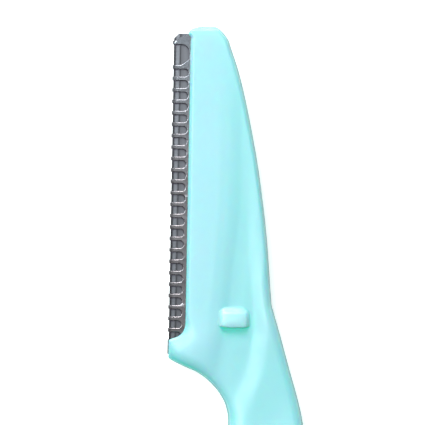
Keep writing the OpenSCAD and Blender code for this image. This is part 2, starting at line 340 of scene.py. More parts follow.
swell_far = swell_near + swell_w
tail_far = tail_near + tail_w
tail_start = total_len - tail_round
bow_len = tail_start - swell_len
chin_top = head_len - chin_h
curve_top = chin_top - chin_curve_h
notch_s = head_len + notch_drop
neck_far = notch_depth + neck_w
blade_end = head_len - chin_floor
hook_end = blade_start + hook_len

corner_shares = [(0.15, 0.32), (0.7, 0.87)]
spine_shares = [(0.1, 0.19), (0.25, 0.403), (0.5, 0.68), (0.75, 0.873)]
neck_shares = [(0.04, 0.016), (0.1, 0.078), (0.27, 0.265), (0.5, 0.504)]
far_side_shares = [(0.25, 0.09), (0.5, 0.32), (0.75, 0.64)]
tip_shares = [(0.3, 0.62), (0.6, 0.92)]
chin_shares = [(0.45, 0.1), (0.78, 0.45), (0.92, 0.85)]
notch_shares = [(0.04, 0.05), (0.137, 0.249), (0.233, 0.475), (0.38, 0.675), (0.577, 0.85), (0.776, 0.955)]
near_side_shares = [(0.25, 0.08), (0.5, 0.26), (0.75, 0.56)]

tip_corner = (blade_start, window_w - hook_reach)
far_knots = [
    (0, tip_far), *spread(corner_shares, (0, tip_far), (corner_drop, corner_w)),
    (corner_drop, corner_w), *spread(spine_shares, (corner_drop, corner_w), (spine_len, head_w)),
    (spine_len, head_w), *spread(neck_shares, (spine_len, head_w), (notch_s, neck_far)),
    (notch_s, neck_far), (swell_len, swell_far),
    *spread(far_side_shares, (swell_len, swell_far), (tail_start, tail_far)),
    (tail_start, tail_far), (total_len, tail_far - (swell_far - tail_far) * tail_round / bow_len)]
near_knots = [
    (0, tip_near), *spread(tip_shares, (0, tip_near), tip_corner), tip_corner,
    (hook_end, window_w + hook_back), (hook_end + hook_len, window_w), (curve_top, window_w),
    *spread(chin_shares, (curve_top, window_w), (chin_top, 0)), (chin_top, 0), (head_len, 0),
    *spread(notch_shares, (head_len, 0), (notch_s, notch_depth)),
    (notch_s, notch_depth), (swell_len, swell_near),
    *spread(near_side_shares, (swell_len, swell_near), (tail_start, tail_near)),
    (tail_start, tail_near), (total_len, tail_near - (swell_near - tail_near) * tail_round / bow_len)]


def end_round(s):
    """Share of its width that the moulding keeps in its rounded end."""
    return np.sqrt(1 - (blunt_share * np.clip((s - tail_start) / tail_round, 0, 1)) ** 2)


def middle(s):
    """Distance e of the line midway between the two sides."""
    return (curve(near_knots, s) + curve(far_knots, s)) / 2


def half_width(s):
    """Half of the width, less what the rounded end takes off."""
    return end_round(s) * (curve(far_knots, s) - curve(near_knots, s)) / 2


def near(s):
    """Distance e of the near side."""
    return middle(s) - half_width(s)


def far(s):
    """Distance e of the far side."""
    return middle(s) + half_width(s)


print("Width where the spine ends:", round(float(far(spine_len) - near(spine_len)), 2), "mm")

# %% [markdown]
# ### Distance in from the two sides
# A rounded rim needs the distance square to the outline. Along a slanted side that is the distance
# across, shortened by the slope. Round the chin and the notch, where the outline turns fast, the
# nearest of many points on the outline itself is taken. The chin's corner parts the near side in two,
# and each part gets its own distance: so the rims of both can meet without a ridge.

# %% Distances
probe = 0.05
turn_samples, turn_margin = 900, 2
upper_turn_s = np.linspace(curve_top - 2 * turn_margin, head_len, turn_samples)
lower_turn_s = np.linspace(head_len, swell_len + turn_margin, turn_samples)


def slope_length(side, s):
    """Length of a side's outline for each millimetre down from the tip."""
    return np.sqrt(1 + ((side(s + probe) - side(s - probe)) / (2 * probe)) ** 2)


def from_samples(e, s, sample_s):
    """Distance from each place to the nearest of many points on the near side."""
    return np.hypot(e[:, None] - near(sample_s), s - sample_s).min(axis=1)


def from_head(e, s):
    """Distance from each place of one cross section to the near side above the chin's corner."""
    if s < curve_top - turn_margin:
        return (e - near(s)) / slope_length(near, s)
    return from_samples(e, s, upper_turn_s) if s < notch_s else np.full_like(e, total_len)


def from_neck(e, s):
    """Distance from each place of one cross section to the near side below the chin's corner."""
    if s > swell_len:
        return (e - near(s)) / (1 if s > tail_start else slope_length(near, s))
    return from_samples(e, s, lower_turn_s) if s > curve_top - turn_margin else np.full_like(e, total_len)


def from_far(e, s):
    """Distance from each place of one cross section to the far side."""
    return (far(s) - e) / (1 if s > tail_start else slope_length(far, s))


mid_neck = np.array([middle(notch_s)])
print("Halfway across the neck:", from_neck(mid_neck, notch_s).round(2), "mm from the notch")

# %% [markdown]
# ### The relief of the faces
# The light in the photograph tells how each place leans. The paddle is a low dome that rises from the
# steel and falls again to a valley. Between the valley and the spine lies a flat web, and the spine
# stands a little higher, behind a soft flank that swings in below the nub and runs down the neck. The
# chin bulges, and the thumb has a shallow hollow. These forms are only tenths of a millimetre high and
# could be sculpted, but as sums of smooth curves they can be set against the photograph one by one.
# Each table runs down the razor: `web_knots` gives the half thickness of the web, `dome_line` where the
# dome ends, `dome_rise` its height, and the flank has its middle line, its half width and its rise. Only
# `dome_profile` runs across, from the steel at 0 to the dome's end at 1.

# %% Relief
crown = 0.12
web_t, tip_thin_share = 2.56, 0.85
crown_shares = (0.12, 0.7)
web_knots = [
    (0, tip_thin_share * web_t / 2), (corner_drop, 1.2), (6, 1.265), (10, web_t / 2), (38, web_t / 2),
    (41, 1.295), (43, 1.35), (46, 1.49), (notch_s, 1.71),
    (52, 2.2), (56, 2.78), (swell_len, mid_z - crown),
    *[(swell_len + share * bow_len, mid_z + crown) for share in crown_shares],
    (tail_start, (grip_t + tail_t) / 4), (total_len, tail_t / 2)]

dome_line = [
    (0, 8.6), (16.5, 8.9), (21.5, 8.9), (26.5, 8.5), (31.6, 7.9), (34.1, 7.6), (39.7, 6.8), (44, 5.8)]
dome_rise = [(0, 0), (6, 0.12), (20, 0.32), (34, 0.4), (41, 0.26), (45, 0)]
dome_profile = [
    (0, -0.28), (0.15, -0.12), (0.3, 0.02), (0.45, 0.14), (0.6, 0.23), (0.73, 0.22), (0.86, 0.11),
    (0.98, -0.05), (1.12, -0.06), (1.3, 0)]

flank_line = [
    (0, 5), (11.6, 8.55), (16.5, 9.64), (21.5, 10), (26.5, 10.5), (31.5, 10.85), (34, 11.2), (38, 11.5),
    (39.7, 11.25), (40.9, 11.1), (42.8, 10.75), (44.7, 10.02), (46.5, 9.35), (48.4, 8.7), (52, 8),
    (60, 7.5)]
flank_half = [(0, 0.8), (20, 0.9), (34, 1.0), (42, 1.4), (50, 1.9), (60, 3)]
flank_rise = [
    (0, 0), (8, 0), (20, 0.04), (26, 0.1), (31, 0.2), (36, 0.38), (41, 0.3), (46, 0.21), (52, 0.13),
    (60, 0)]

chin_bulge, chin_place, chin_reach = 0.26, (2.2, chin_top + 1.8), (3.3, 3.1)
thumb_depth, thumb_place, thumb_reach = 0.1, (12.7, notch_s + 2.5), (2.5, 4.5)


def full_thick(e, s):
    """Half thickness of the moulding away from its rims, along one cross section."""
    across = (e - window_w) / (curve(dome_line, s) - window_w)
    up_flank = 0.5 + (e - curve(flank_line, s)) / (2 * curve(flank_half, s))
    chin = hump((e - chin_place[0]) / chin_reach[0]) * hump((s - chin_place[1]) / chin_reach[1])
    thumb = hump((e - thumb_place[0]) / thumb_reach[0]) * hump((s - thumb_place[1]) / thumb_reach[1])
    crowned = ((e - middle(s)) / half_width(s)) ** 2 * np.clip((s - notch_s) / notch_drop, 0, 1)
    return (curve(web_knots, s) + curve(dome_rise, s) * curve(dome_profile, across)
            + curve(flank_rise, s) * ease(up_flank) + chin_bulge * chin - thumb_depth * thumb
            - 2 * crown * crowned)


print("Half thickness on the neck:", full_thick(mid_neck, notch_s).round(3), "mm")

# %% [markdown]
# ### Rims and sides
# On the real razor no edge is sharp. The steep side stands a little aslant, as every mould needs, and a
# round leads from it to the face. A bevel modifier gives each edge one width, but here the round is
# wide at the chin, small at the spine and wide again on the grip, so it is worked out from the distance
# to the outline. Beside the steel the plastic starts from a thicker lip.

# %% Rims
land = 0.2
lip_share, chin_lip_share = 0.5, 0.66
side_share, draft_w = 0.55, 0.17
tip_rim_r, head_rim_r, grip_rim_r = 0.5, 0.4, 3.4
lip_rim_r, chin_rim_r, corner_rim_r, notch_rim_r, neck_rim_r = 0.5, 1.8, 1.5, 1.8, 1.05
lip_change, chin_change, corner_change, neck_change = 1, 0.3, 4, (6, 1)
near_rim = [
    (0, lip_rim_r), (curve_top - lip_change, lip_rim_r), (chin_top - chin_change, chin_rim_r),
    (notch_s, chin_rim_r)]
notch_rim = [
    (head_len, corner_rim_r), (head_len + corner_change, notch_rim_r), (notch_s, notch_rim_r),
    (swell_len, grip_rim_r), (total_len, grip_rim_r)]
far_rim = [
    (0, head_rim_r), (spine_len - neck_change[0], head_rim_r), (spine_len - neck_change[1], neck_rim_r),
    (notch_s, neck_rim_r), (swell_len, grip_rim_r), (total_len, grip_rim_r)]
lip = [
    (curve_top - lip_change, lip_share), (chin_top, chin_lip_share), (blade_end, chin_lip_share),
    (blade_end + chin_h / 2, 0)]


def wall(inward, radius):
    """Share of the height at a distance in from the outline: a drafted side with a round above it."""
    side = np.clip(inward / draft_w, 0, 1)
    return side_share * side + (1 - side_share) * rim((inward - draft_w) / radius)


print("The side takes up", side_share, "of the height and leans in by", draft_w, "mm")

# %% [markdown]
# ### The stop nub
# On razors of this kind a push-on cap slides over the head and stops at this nub. It is a small arched
# ramp: it climbs gently from the tip's side and drops off crisply below. From above it is a rounded
# oblong that narrows a little upwards, and its top falls slightly to both sides. It could be a bevelled
# block joined to the face, but as a share of the height of the same skin it has no seam.

# %% Nub
nub_len, nub_w, nub_h = 3.5, 2.2, 0.68
nub_s, nub_e = 36.32, 8.14
nub_arch, nub_crest, nub_crown = 0.64, 0.24, 0.17
nub_power, nub_throat, nub_end = 3.2, 0.35, 1.42
side_w, upper_w, foot_w, foot_bow = 0.3, 0.9, 0.14, 0.14


def nub_measures(e, s):
    """How far out a place lies along the nub and up it, where 1 is the nub's side or its upper end."""
    up = max(nub_s - s, 0) / (nub_w / 2)
    narrow = max(1 - (up / nub_end) ** nub_power, nub_throat**nub_power) ** (1 / nub_power)
    return np.abs(e - nub_e) / (nub_len / 2 * narrow), up


def nub_lift(e, s):
    """Share of the way from the paddle up to the nub's top."""
    along, up = nub_measures(e, s)
    sides = ease(0.5 + (1 - along) / side_w)
    upper = ease(0.5 + (1 - up) / upper_w)
    foot = ease(0.5 + (nub_s + nub_w / 2 - foot_bow * along**4 - s) / foot_w)
    return sides * upper * foot


def nub_top(e, s):
    """Half thickness on the nub's arched top."""
    climb = np.clip(0.5 - (s - nub_s) / nub_w, 0, 1) - nub_crest
    return head_t / 2 + nub_h - nub_arch * climb**2 - nub_crown * np.minimum(nub_measures(e, s)[0], 1) ** 4


print("Half thickness on top of the nub:", nub_top(nub_e, nub_s).round(3), "mm")

# %% [markdown]
# ### Everything in one cross section
# The relief, the rims and the nub come together here. The grip's crown is trimmed to two flats, so the
# razor rests steadily and doesn't roll, with a soft change instead of a crease.

# %% Cross sections
flat_blend = 0.06


def half_thick(e, s):
    """Half thickness of the moulding along one cross section."""
    keep = curve(lip, s)
    head_round = keep + (1 - keep) * rim(from_head(e, s) / curve(near_rim, s))
    neck_round = wall(from_neck(e, s), end_round(s) * curve(notch_rim, s))
    far_round = wall(from_far(e, s), end_round(s) * curve(far_rim, s))
    ends_round = wall(s, tip_rim_r) * rim((total_len - s) / tail_round)
    z = land + (full_thick(e, s) - land) * head_round * neck_round * far_round * ends_round
    z = z + (nub_top(e, s) - z) * nub_lift(e, s)
    over = np.clip(z - mid_z + flat_blend, 0, 2 * flat_blend)
    return np.minimum(z, mid_z + flat_blend) - over**2 / (4 * flat_blend)


print("Half thickness of the grip:", half_thick(np.array([middle(swell_len)]), swell_len).round(3), "mm")

# %% [markdown]
# ### A sheet for the upper half
# A moulder thinks in halves: two mould faces meet on the middle plane. So only the upper half is
# modelled. It starts as a flat grid, as fine as the nub's sides need, and each row of the grid becomes
# one cross section. Rows lie closer round the tip, the chin, the nub and the rounded end, and columns
# draw together at the nub's sides: each crowd has a middle, a reach and a strength. A cage with a
# subdivision modifier has fewer faces, but it would round off the crisp foot of the nub and the corner
# at the chin.

# %% Upper skin
columns, rows = 76, 480
row_crowds = [
    (0, 1.5, 6), (corner_drop, 0.8, 4), (hook_end, 0.7, 5), (20, 24, 1.2), (chin_top, 2.6, 3),
    (nub_s - nub_w / 2, 0.4, 7), (nub_s + nub_w / 2, 0.4, 7), (notch_s - 3, 4, 1.5), (total_len, 3, 5)]
nub_focus_reach, nub_crowd = (1.4, 5.0), (0.04, 6)
flash_h, flash_out = 0.06, 0.025

row_s = spaced(0, total_len, rows + 1, row_crowds)
nub_sides = [(nub_e + side * nub_len / 2 - near(nub_s)) / (2 * half_width(nub_s)) for side in (-1, 1)]
nub_turns = [math.acos(1 - 2 * share) / math.pi for share in nub_sides]
even_turn = np.linspace(0, 1, columns + 1)
nub_turn = spaced(0, 1, columns + 1, [(turn, *nub_crowd) for turn in nub_turns])


def cross_section(s):
    """Places of one row of the skin, from the near side to the far side, a hair inside the outline."""
    focus = ease(np.interp(abs(s - nub_s), nub_focus_reach, (1, 0)))
    turn = even_turn + focus * (nub_turn - even_turn)
    out = -np.cos(math.pi * turn)
    e = middle(s) + half_width(s) * out
    inner_s = s + flash_out * (1 - 2 * s / total_len)
    return np.stack(np.broadcast_arrays(*place(e - flash_out * out, inner_s, half_thick(e, s))), axis=1)


clear_selection()
bpy.ops.mesh.primitive_grid_add(x_subdivisions=columns, y_subdivisions=rows, size=2)
moulding = name_new("handle_moulding")
sections = np.stack([cross_section(s) for s in row_s])
flat = get_places(moulding)
column_of = np.rint((flat[:, 0] + 1) / 2 * columns).astype(int)
row_of = np.rint((1 - flat[:, 1]) / 2 * rows).astype(int)
set_places(moulding, sections[row_of, column_of])
report(moulding)

# %% [markdown]
# ### The parting line and the lower half
# The skin's border is extruded down to the middle plane. Where the two mould halves meet, a moulding
# always keeps a hair of flash, so the last ring stands out by a few hundredths of a millimetre. Then a
# mirror gives the lower half.

# %% Lower half
edit(moulding, "EDGE")
pick(lambda edge: edge.is_boundary, "edges")
for height in (flash_h, 0):
    bpy.ops.mesh.extrude_edges_move()
    bpy.ops.transform.resize(value=(1, 1, 0), center_override=(0, 0, height * MM))
bpy.ops.transform.shrink_fatten(value=flash_out * MM)
bpy.ops.object.mode_set(mode="OBJECT")
apply_modifier(moulding, "MIRROR", use_axis=(False, False, True), merge_threshold=touching)
report(moulding)

# %% [markdown]
# ### The seat of the steel
# The plastic is shot round the blade and the guard, so it has their exact room inside it, less the
# small pegs of plastic that fill the anchor holes. The room is cut out of the moulding as one block
# for the folded guard and a thinner one for the blade's back, so blade and guard can then be modelled on
# their own and still fit.

# %% Seat
blade_t, blade_w = 0.25, 4.6
sheet_t, sheet_gap, nose_gap = 0.12, 0.02, 0.03
leaf_w, seat_gap = 4.25, 0.02
anchor_count, anchor_r = 3, 0.7
cut = 1
plastic_crease = math.radians(35)

fold_in_r = blade_t / 2 + sheet_gap
fold_r = fold_in_r + sheet_t
nose_out = nose_gap + sheet_t
blade_len = blade_end - blade_start
anchor_e = (window_w + leaf_w) / 2
anchor_pitch = blade_len / anchor_count
anchor_places = [(anchor_e, blade_start + anchor_pitch * (i + 0.5)) for i in range(anchor_count)]

guard_room = add_block(
    "guard_room", (-nose_out - cut, blade_start - seat_gap, -fold_r - seat_gap),
    (leaf_w + seat_gap, blade_end + seat_gap, fold_r + seat_gap))
blade_room = add_block(
    "blade_room", (-nose_out - cut, blade_start - seat_gap, -blade_t / 2 - seat_gap),
    (blade_w + seat_gap, blade_end + seat_gap, blade_t / 2 + seat_gap))
for room in (guard_room, blade_room):
    cut_away(room, add_pegs("pegs", anchor_r - seat_gap, head_t, anchor_places))
cut_away(moulding, guard_room, blade_room)
raise_to_middle(moulding)
smooth(moulding, plastic_crease)
report(moulding)

# %% [markdown]
# ### The blade
# The blade starts as a thin block. Two cuts along it mark where the grinding begins, and the edges in
# front of them are drawn together in height: a long bevel first, and a short steeper one at the very
# edge. The two corners at the edge are cut off at a slant, and a hair-thin bevel breaks the square
# edges that remain. A profile pushed out along the blade would give the same bevels, but not its holes
# and corners, so the block is worked as a grinder works it.

# %% Blade
bevel_w, hone_w, hone_share, edge_share = 0.75, 0.14, 0.3, 0.03
blade_chamfer = 0.6
hair_w, hair_steps, hair_angle = 0.012, 2, math.radians(40)
blade_crease = math.radians(5)

blade = add_block("steel_blade", (0, blade_start, -blade_t / 2), (blade_w, blade_end, blade_t / 2))
edit(blade)
for line_e in (hone_w, bevel_w):
    bisect((line_e, 0), (1, 0, 0))
for line_e, height_share in ((0, edge_share), (hone_w, hone_share)):
    pick(lambda vertex: abs(vertex.co.x - place(line_e, 0)[0]) < touching)
    bpy.ops.transform.resize(value=(1, 1, height_share), center_override=(0, 0, 0))
for corner_s, way in ((blade_start, 1), (blade_end, -1)):
    bisect((blade_chamfer, corner_s), (-1, way, 0), use_fill=True, clear_outer=True)
bpy.ops.object.mode_set(mode="OBJECT")
cut_away(blade, add_pegs("pegs", anchor_r, head_t, anchor_places))
apply_modifier(
    blade, "BEVEL", width=hair_w * MM, segments=hair_steps, limit_method="ANGLE", angle_limit=hair_angle)
raise_to_middle(blade)
smooth(blade, blade_crease)
report(blade)

# %% [markdown]
# ### Cutters for the guard's slots
# The guard is made as the real one is: thin sheet, etched with its row of slots while flat, then folded
# over the blade's edge. Flat, the sheet is as wide as the two leaves and the bend between them. Each
# slot is cut by a block across the fold line whose corners are rounded first with a bevel. The first
# slot is taller, and its lower end runs out at a slant on both leaves.

# %% Slot cutters
slot_start, first_slot_h, first_slot_depth = 2.3, 2.55, 1.95
first_upper_r, first_slant, slant_round = 0.95, ((0.95, 4.85), (1.85, 4.12)), 0.25
corner_steps, slant_steps, round_profile = 8, 4, 0.5
cutter_t = 4 * sheet_t

bend_r = (fold_in_r + fold_r) / 2
bend_e = fold_r - nose_out
bend_half = math.pi / 2 * bend_r


def flat_reach(e):
    """Distance from the fold line, on the flat sheet, of what lies at e once it is folded."""
    return bend_half + e - bend_e


def add_flat_block(name, reach, top_s, height, thick):
    """A block across the fold line of the flat sheet, which lies with its fold line at e = 0."""
    return add_block(name, (-reach, top_s, -thick / 2), (reach, top_s + height, thick / 2))


def is_upright(edge):
    """Edges that stand square to the flat sheet."""
    start, end = (vertex.co for vertex in edge.verts)
    return abs(start.x - end.x) + abs(start.y - end.y) < touching


def round_corners(cutter, test, size, segments):
    """Rounds the upright edges of a cutter that pass the test."""
    edit(cutter, "EDGE")
    pick(lambda edge: is_upright(edge) and test(edge.verts[0].co.y), "edges")
    bpy.ops.mesh.bevel(offset=size * MM, segments=segments, profile=round_profile)
    bpy.ops.object.mode_set(mode="OBJECT")


def add_cutter(top_s, height, depth, *corners):
    """A cutter through the flat sheet; each corner entry (s, size, segments) rounds one end."""
    cutter = add_flat_block("slot", flat_reach(depth), top_s, height, cutter_t)
    for corner_s, size, segments in corners:
        corner_y = place(0, corner_s)[1]
        round_corners(cutter, lambda y: abs(y - corner_y) < touching, size, segments)
    return cutter


def first_slot_cutter():
    """The tall first slot, whose lower end runs out at a slant on both leaves."""
    cutter = add_cutter(
        slot_start, first_slot_h, first_slot_depth, (slot_start, first_upper_r, corner_steps))
    (low_e, low_s), (high_e, high_s) = first_slant
    for side in (-1, 1):
        edit(cutter)
        bisect((side * flat_reach(low_e), low_s), (side * (low_s - high_s), low_e - high_e, 0),
               use_fill=True, clear_outer=True)
    round_corners(cutter, lambda y: y < place(0, high_s)[1] + touching, slant_round, slant_steps)
    return cutter


print("The bend takes up", round(2 * bend_half, 2), "mm of the flat sheet")

# %% [markdown]
# ### The guard, cut flat
# All slots share one pitch, and their depth shrinks a little towards the foot. The sheet's corners at
# the tip and at the foot are cut off as well. The sheet is divided at every bar before the slots are
# cut, so that the boolean leaves no faces that run along the whole guard.

# %% Flat guard
bar_count, bar_w, foot_strip = 25, 0.5, 2.03
slot_depth_top, slot_depth_foot = 1.88, 1.5
tip_cut_h, tip_cut_e, tip_cut_slant = 0.87, 1.25, 0.82
foot_chamfer, foot_cut_e = 0.2, 0.2
end_share, end_steps = 0.98, 7

flat_half = flat_reach(leaf_w)
first_bar = slot_start + first_slot_h
pitch = (blade_end - foot_strip - first_bar) / (bar_count - 1)
slot_h = pitch - bar_w
slots = [
    first_slot_cutter(),
    add_cutter(blade_start - cut, cut + tip_cut_h, tip_cut_e, (blade_start + tip_cut_h, tip_cut_slant, 1)),
    add_cutter(blade_end - foot_chamfer, foot_chamfer + cut, foot_cut_e,
               (blade_end - foot_chamfer, foot_chamfer, 1))]
for i in range(bar_count - 1):
    top_s = first_bar + bar_w + i * pitch
    depth = slot_depth_top + (slot_depth_foot - slot_depth_top) * i / (bar_count - 1)
    ends = [(end_s, end_share * slot_h / 2, end_steps) for end_s in (top_s, top_s + slot_h)]
    slots.append(add_cutter(top_s, slot_h, depth, *ends))
guard = add_flat_block("folded_guard", flat_half, blade_start, blade_len, sheet_t)
edit(guard)
for i in range(bar_count):
    bisect((0, first_bar + bar_w / 2 + i * pitch), (0, 1, 0))
cut_away(guard, join(slots, "slots"))
report(guard)

# %% [markdown]
# ### The etched rims, the fold and the pegs' holes
# Etching eats a slot's rim sideways as it goes down, and this slanted rim on the outer face is what
# catches the light along every bar, so it gets a small bevel. Then the sheet is cut into narrow strips
# across the bend, and folded: whatever lies within the bend wraps round a half circle, and the rest
# becomes the upper and the lower leaf. A bend modifier would need its limits set just right, or it
# bows the leaves as well. Moving the vertices by the same rule that a folding press follows is plainer.

# %% Folded guard
etch_w, etch_steps, etch_angle = 0.1, 4, math.radians(60)
bend_steps = 14
guard_crease, guard_weight = math.radians(40), 90
top_z, tip_y, foot_y = sheet_t / 2 * MM, place(0, blade_start)[1], place(0, blade_end)[1]


def is_etched_rim(edge):
    """Edges of the slots on the face that ends up outside."""
    for vertex in edge.verts:
        if abs(vertex.co.z - top_z) >= touching or not foot_y + touching < vertex.co.y < tip_y - touching:
            return False
    return len(edge.link_faces) == 2 and edge.calc_face_angle(0) > etch_angle


edit(guard, "EDGE")
found = pick(is_etched_rim, "edges")
bpy.ops.mesh.bevel(offset=etch_w * MM, segments=etch_steps, profile=round_profile, clamp_overlap=False)
for share in np.linspace(-1, 1, bend_steps + 1):
    bisect((share * bend_half, 0), (1, 0, 0))
bpy.ops.object.mode_set(mode="OBJECT")
flat_x, flat_y, out = get_places(guard).T / MM
reach = flat_x + mid_e
turn = np.clip(reach / bend_r, -math.pi / 2, math.pi / 2)
past_bend = np.maximum(np.abs(reach) - bend_half, 0)
folded_x = bend_e + past_bend - (bend_r + out) * np.cos(turn) - mid_e
set_places(guard, np.stack([folded_x, flat_y, (bend_r + out) * np.sin(turn)], axis=1) * MM)
cut_away(guard, add_pegs("pegs", anchor_r, head_t, anchor_places))
raise_to_middle(guard)
smooth(guard, guard_crease)
apply_modifier(guard, "WEIGHTED_NORMAL", keep_sharp=True, mode="FACE_AREA", weight=guard_weight)
print(found, "rim edges were etched")
report(guard)

# %% [markdown]
# ### Finishes from nodes
# Each finish is one Principled shader with noise behind its colour, roughness and bump. The helpers add
# a node with its settings and make a noise whose grains have a size in millimetres, so a brushed metal
# is only a noise with long grains. A noise is given by its grains, its detail and its roughness, and
# nearly all of it lies within `noise_span`.

# %% Node helpers
noise_span = (0.3, 0.7)
shelter_samples = 8


def add_finish(name):
    """A new finish, its node tree and the inputs of its Principled shader."""
    finish = bpy.data.materials.new(name)
    finish.use_nodes = True
    return finish, finish.node_tree, finish.node_tree.nodes["Principled BSDF"].inputs


def connect(tree, inputs, sources):
    """Links each input, by name or number, with a socket, or sets it to a plain value."""
    for key, source in sources.items():
        if isinstance(source, bpy.types.NodeSocket):
            tree.links.new(source, inputs[key])
        else:
            inputs[key].default_value = source


def add_node(tree, kind, sources=(), **settings):
    """A node with its settings, whose inputs are linked or set."""
    node = tree.nodes.new("ShaderNode" + kind)
    for setting, value in settings.items():
        setattr(node, setting, value)
    connect(tree, node.inputs, dict(sources))
    return node


def maths(tree, operation, *values):
    """A sum with one or two values, such as ABSOLUTE or MULTIPLY."""
    return add_node(tree, "Math", enumerate(values), operation=operation).outputs[0]


def mixed(tree, share, first, second, blend="MIX"):
    """The first colour with a share of the second one mixed in."""
    return add_node(
        tree, "Mix", {0: share, 6: first, 7: second}, data_type="RGBA", blend_type=blend).outputs[2]


def between(tree, value, start, end, low, high):
    """Stretches a value that runs from start to end so that it runs from low to high."""
    return add_node(tree, "MapRange", {0: value, 1: start, 2: end, 3: low, 4: high}).outputs[0]


def noise(tree, grain, detail, rough=0.5):
    """Noise with grains of the given size in millimetres along X, Y and Z, from 0 to 1."""
    where = add_node(tree, "TexCoord").outputs["Object"]
    scale = tuple(1 / (side * MM) for side in grain)
    where = add_node(tree, "Mapping", {"Vector": where, "Scale": scale}).outputs[0]
    settings = {"Vector": where, "Scale": 1.0, "Detail": detail, "Roughness": rough}
    return add_node(tree, "TexNoise", settings).outputs[0]


def bump(tree, height, depth_mm):
    """Bump that is so many millimetres deep where the height is 1."""
    return add_node(tree, "Bump", {"Height": height, "Distance": depth_mm * MM, "Strength": 1.0}).outputs[0]


print("Node helpers are ready")

# %% [markdown]
# ### Where on the razor a tone belongs
# Some tones belong to a part of the razor, and these helpers tell where that is, from the object's own
# coordinates, from the way a face looks or from how open it lies to the light.


# %% Place helpers
def object_axis(tree, axis):
    """The object's own coordinate along X, Y or Z."""
    where = add_node(tree, "TexCoord").outputs["Object"]
    return add_node(tree, "SeparateXYZ", {0: where}).outputs[axis]


def by_e(tree, start, end, low=0, high=1):
    """Runs from low to high between two distances in from the cutting edge."""
    return between(tree, object_axis(tree, "X"), place(start, 0)[0], place(end, 0)[0], low, high)


def by_s(tree, start, end):
    """Runs from 0 to 1 between two distances down from the tip."""
    return between(tree, object_axis(tree, "Y"), place(0, start)[1], place(0, end)[1], 0, 1)


def by_height(tree, start, end):
    """Runs from 0 to 1 between two heights above, or depths below, the middle plane."""
    above = maths(tree, "ABSOLUTE", maths(tree, "SUBTRACT", object_axis(tree, "Z"), mid_z * MM))
    return between(tree, above, start * MM, end * MM, 0, 1)


def surface_normal(tree):
    """The way the surface faces."""
    return add_node(tree, "NewGeometry").outputs["Normal"]


def shelter(tree, reach_mm, lean):
    """How open a place is towards the light, from 0 under an overhang to 1 in the open."""
    leaning = add_node(tree, "VectorMath", {0: surface_normal(tree), 1: lean}).outputs[0]
    return add_node(
        tree, "AmbientOcclusion", {"Distance": reach_mm * MM, "Normal": leaning},
        samples=shelter_samples).outputs["AO"]


print("Place helpers are ready")

# %% [markdown]
# ### Mint plastic
# The plastic is a little translucent, and green light travels farther in it than red. Its shadows turn
# green: sheltered places get a painted green shade, kept off the nub and the tip. It looks paler where
# the steel lies under it. All that stands high on the head gets a painted highlight, the nub's steep
# sides a painted glow, and the steep sides of the head painted shade and less gloss.

# %% Plastic colour
mint_pale, mint, mint_deep = (0.37, 0.745, 0.82, 1), (0.335, 0.78, 0.81, 1), (0.31, 0.76, 0.79, 1)
mint_painted_highlight, mint_shade = (0.4, 0.78, 0.82, 1), (0.05, 1.0, 0.78, 1)
mint_painted_glow, mint_painted_side_shade = (0.6, 0.97, 0.92, 1), (0.15, 0.45, 0.46, 1)
drift_noise, drift_span, drift_share = ((5, 11, 5), 2.0), (0.35, 0.65), 0.4
pale_reach, head_end, tip_end, side_end = (4.4, 8.4), (43, 37), (4, 9), (64, 48)
highlight_height, nub_height = (1.3, 1.7), (1.29, 1.38)
shade_reach, shade_lean, shade_span = 4.5, (-0.1, 1.4, 0), (0.56, 0.775)
glow_reach, side_reach = (0.25, 0.85), (0.15, 0.5)

plastic, tree, shader = add_finish("mint_plastic")
tone = mixed(tree, by_e(tree, *pale_reach), mint_pale, mint)
drift = between(tree, noise(tree, *drift_noise), *drift_span, 0, drift_share)
tone = mixed(tree, drift, tone, mint_deep)
on_head = by_s(tree, *head_end)
# Painted highlight: the high parts of the head, the nub and the flank's top, are painted paler.
painted_highlight = maths(tree, "MULTIPLY", by_height(tree, *highlight_height), on_head)
tone = mixed(tree, painted_highlight, tone, mint_painted_highlight)

on_nub = maths(tree, "MULTIPLY", by_height(tree, *nub_height), on_head)
off_nub = between(tree, on_nub, 0, 1, 1, 0)
# Painted shade: sheltered places, found by ambient occlusion, are painted a deep green, but not on the nub
# or the tip.
shade = between(tree, shelter(tree, shade_reach, shade_lean), *shade_span, 1, 0)
shade = maths(tree, "MULTIPLY", maths(tree, "MULTIPLY", shade, off_nub), by_s(tree, *tip_end))
tone = mixed(tree, shade, tone, mint_shade)

facing = add_node(tree, "SeparateXYZ", {0: surface_normal(tree)}).outputs["Z"]
upright = maths(tree, "ABSOLUTE", facing)
# Painted glow: the nub's steep sides are painted paler.
rims = maths(tree, "MULTIPLY", between(tree, upright, *glow_reach, 1, 0), on_nub)
tone = mixed(tree, rims, tone, mint_painted_glow)
upright = maths(tree, "MAXIMUM", upright, on_nub)
# Painted shade: the steep sides of the head are painted darker, fading out down the neck.
sides = maths(tree, "MULTIPLY", between(tree, upright, *side_reach, 1, 0), by_s(tree, *side_end))
connect(tree, shader, {"Base Color": mixed(tree, sides, tone, mint_painted_side_shade)})
print("The plastic runs from", mint_pale[:3], "over the steel to", mint[:3])

# %% [markdown]
# ### The plastic's surface
# Its gloss is a little uneven, and it has the faint grain of the mould. The scatter gives how far red,
# green and blue light travel in it.

# %% Plastic surface
side_gloss = (0.1, 1.0)
gloss_noise, gloss_rough = ((0.9, 1.6, 0.9), 4.0), (0.36, 0.44)
mould_noise, mould_depth = ((0.22, 0.22, 0.22), 3.0), 0.004
plastic_ior, scatter_share, scatter_mm = 1.55, 0.7, (0.3, 1.4, 0.9)

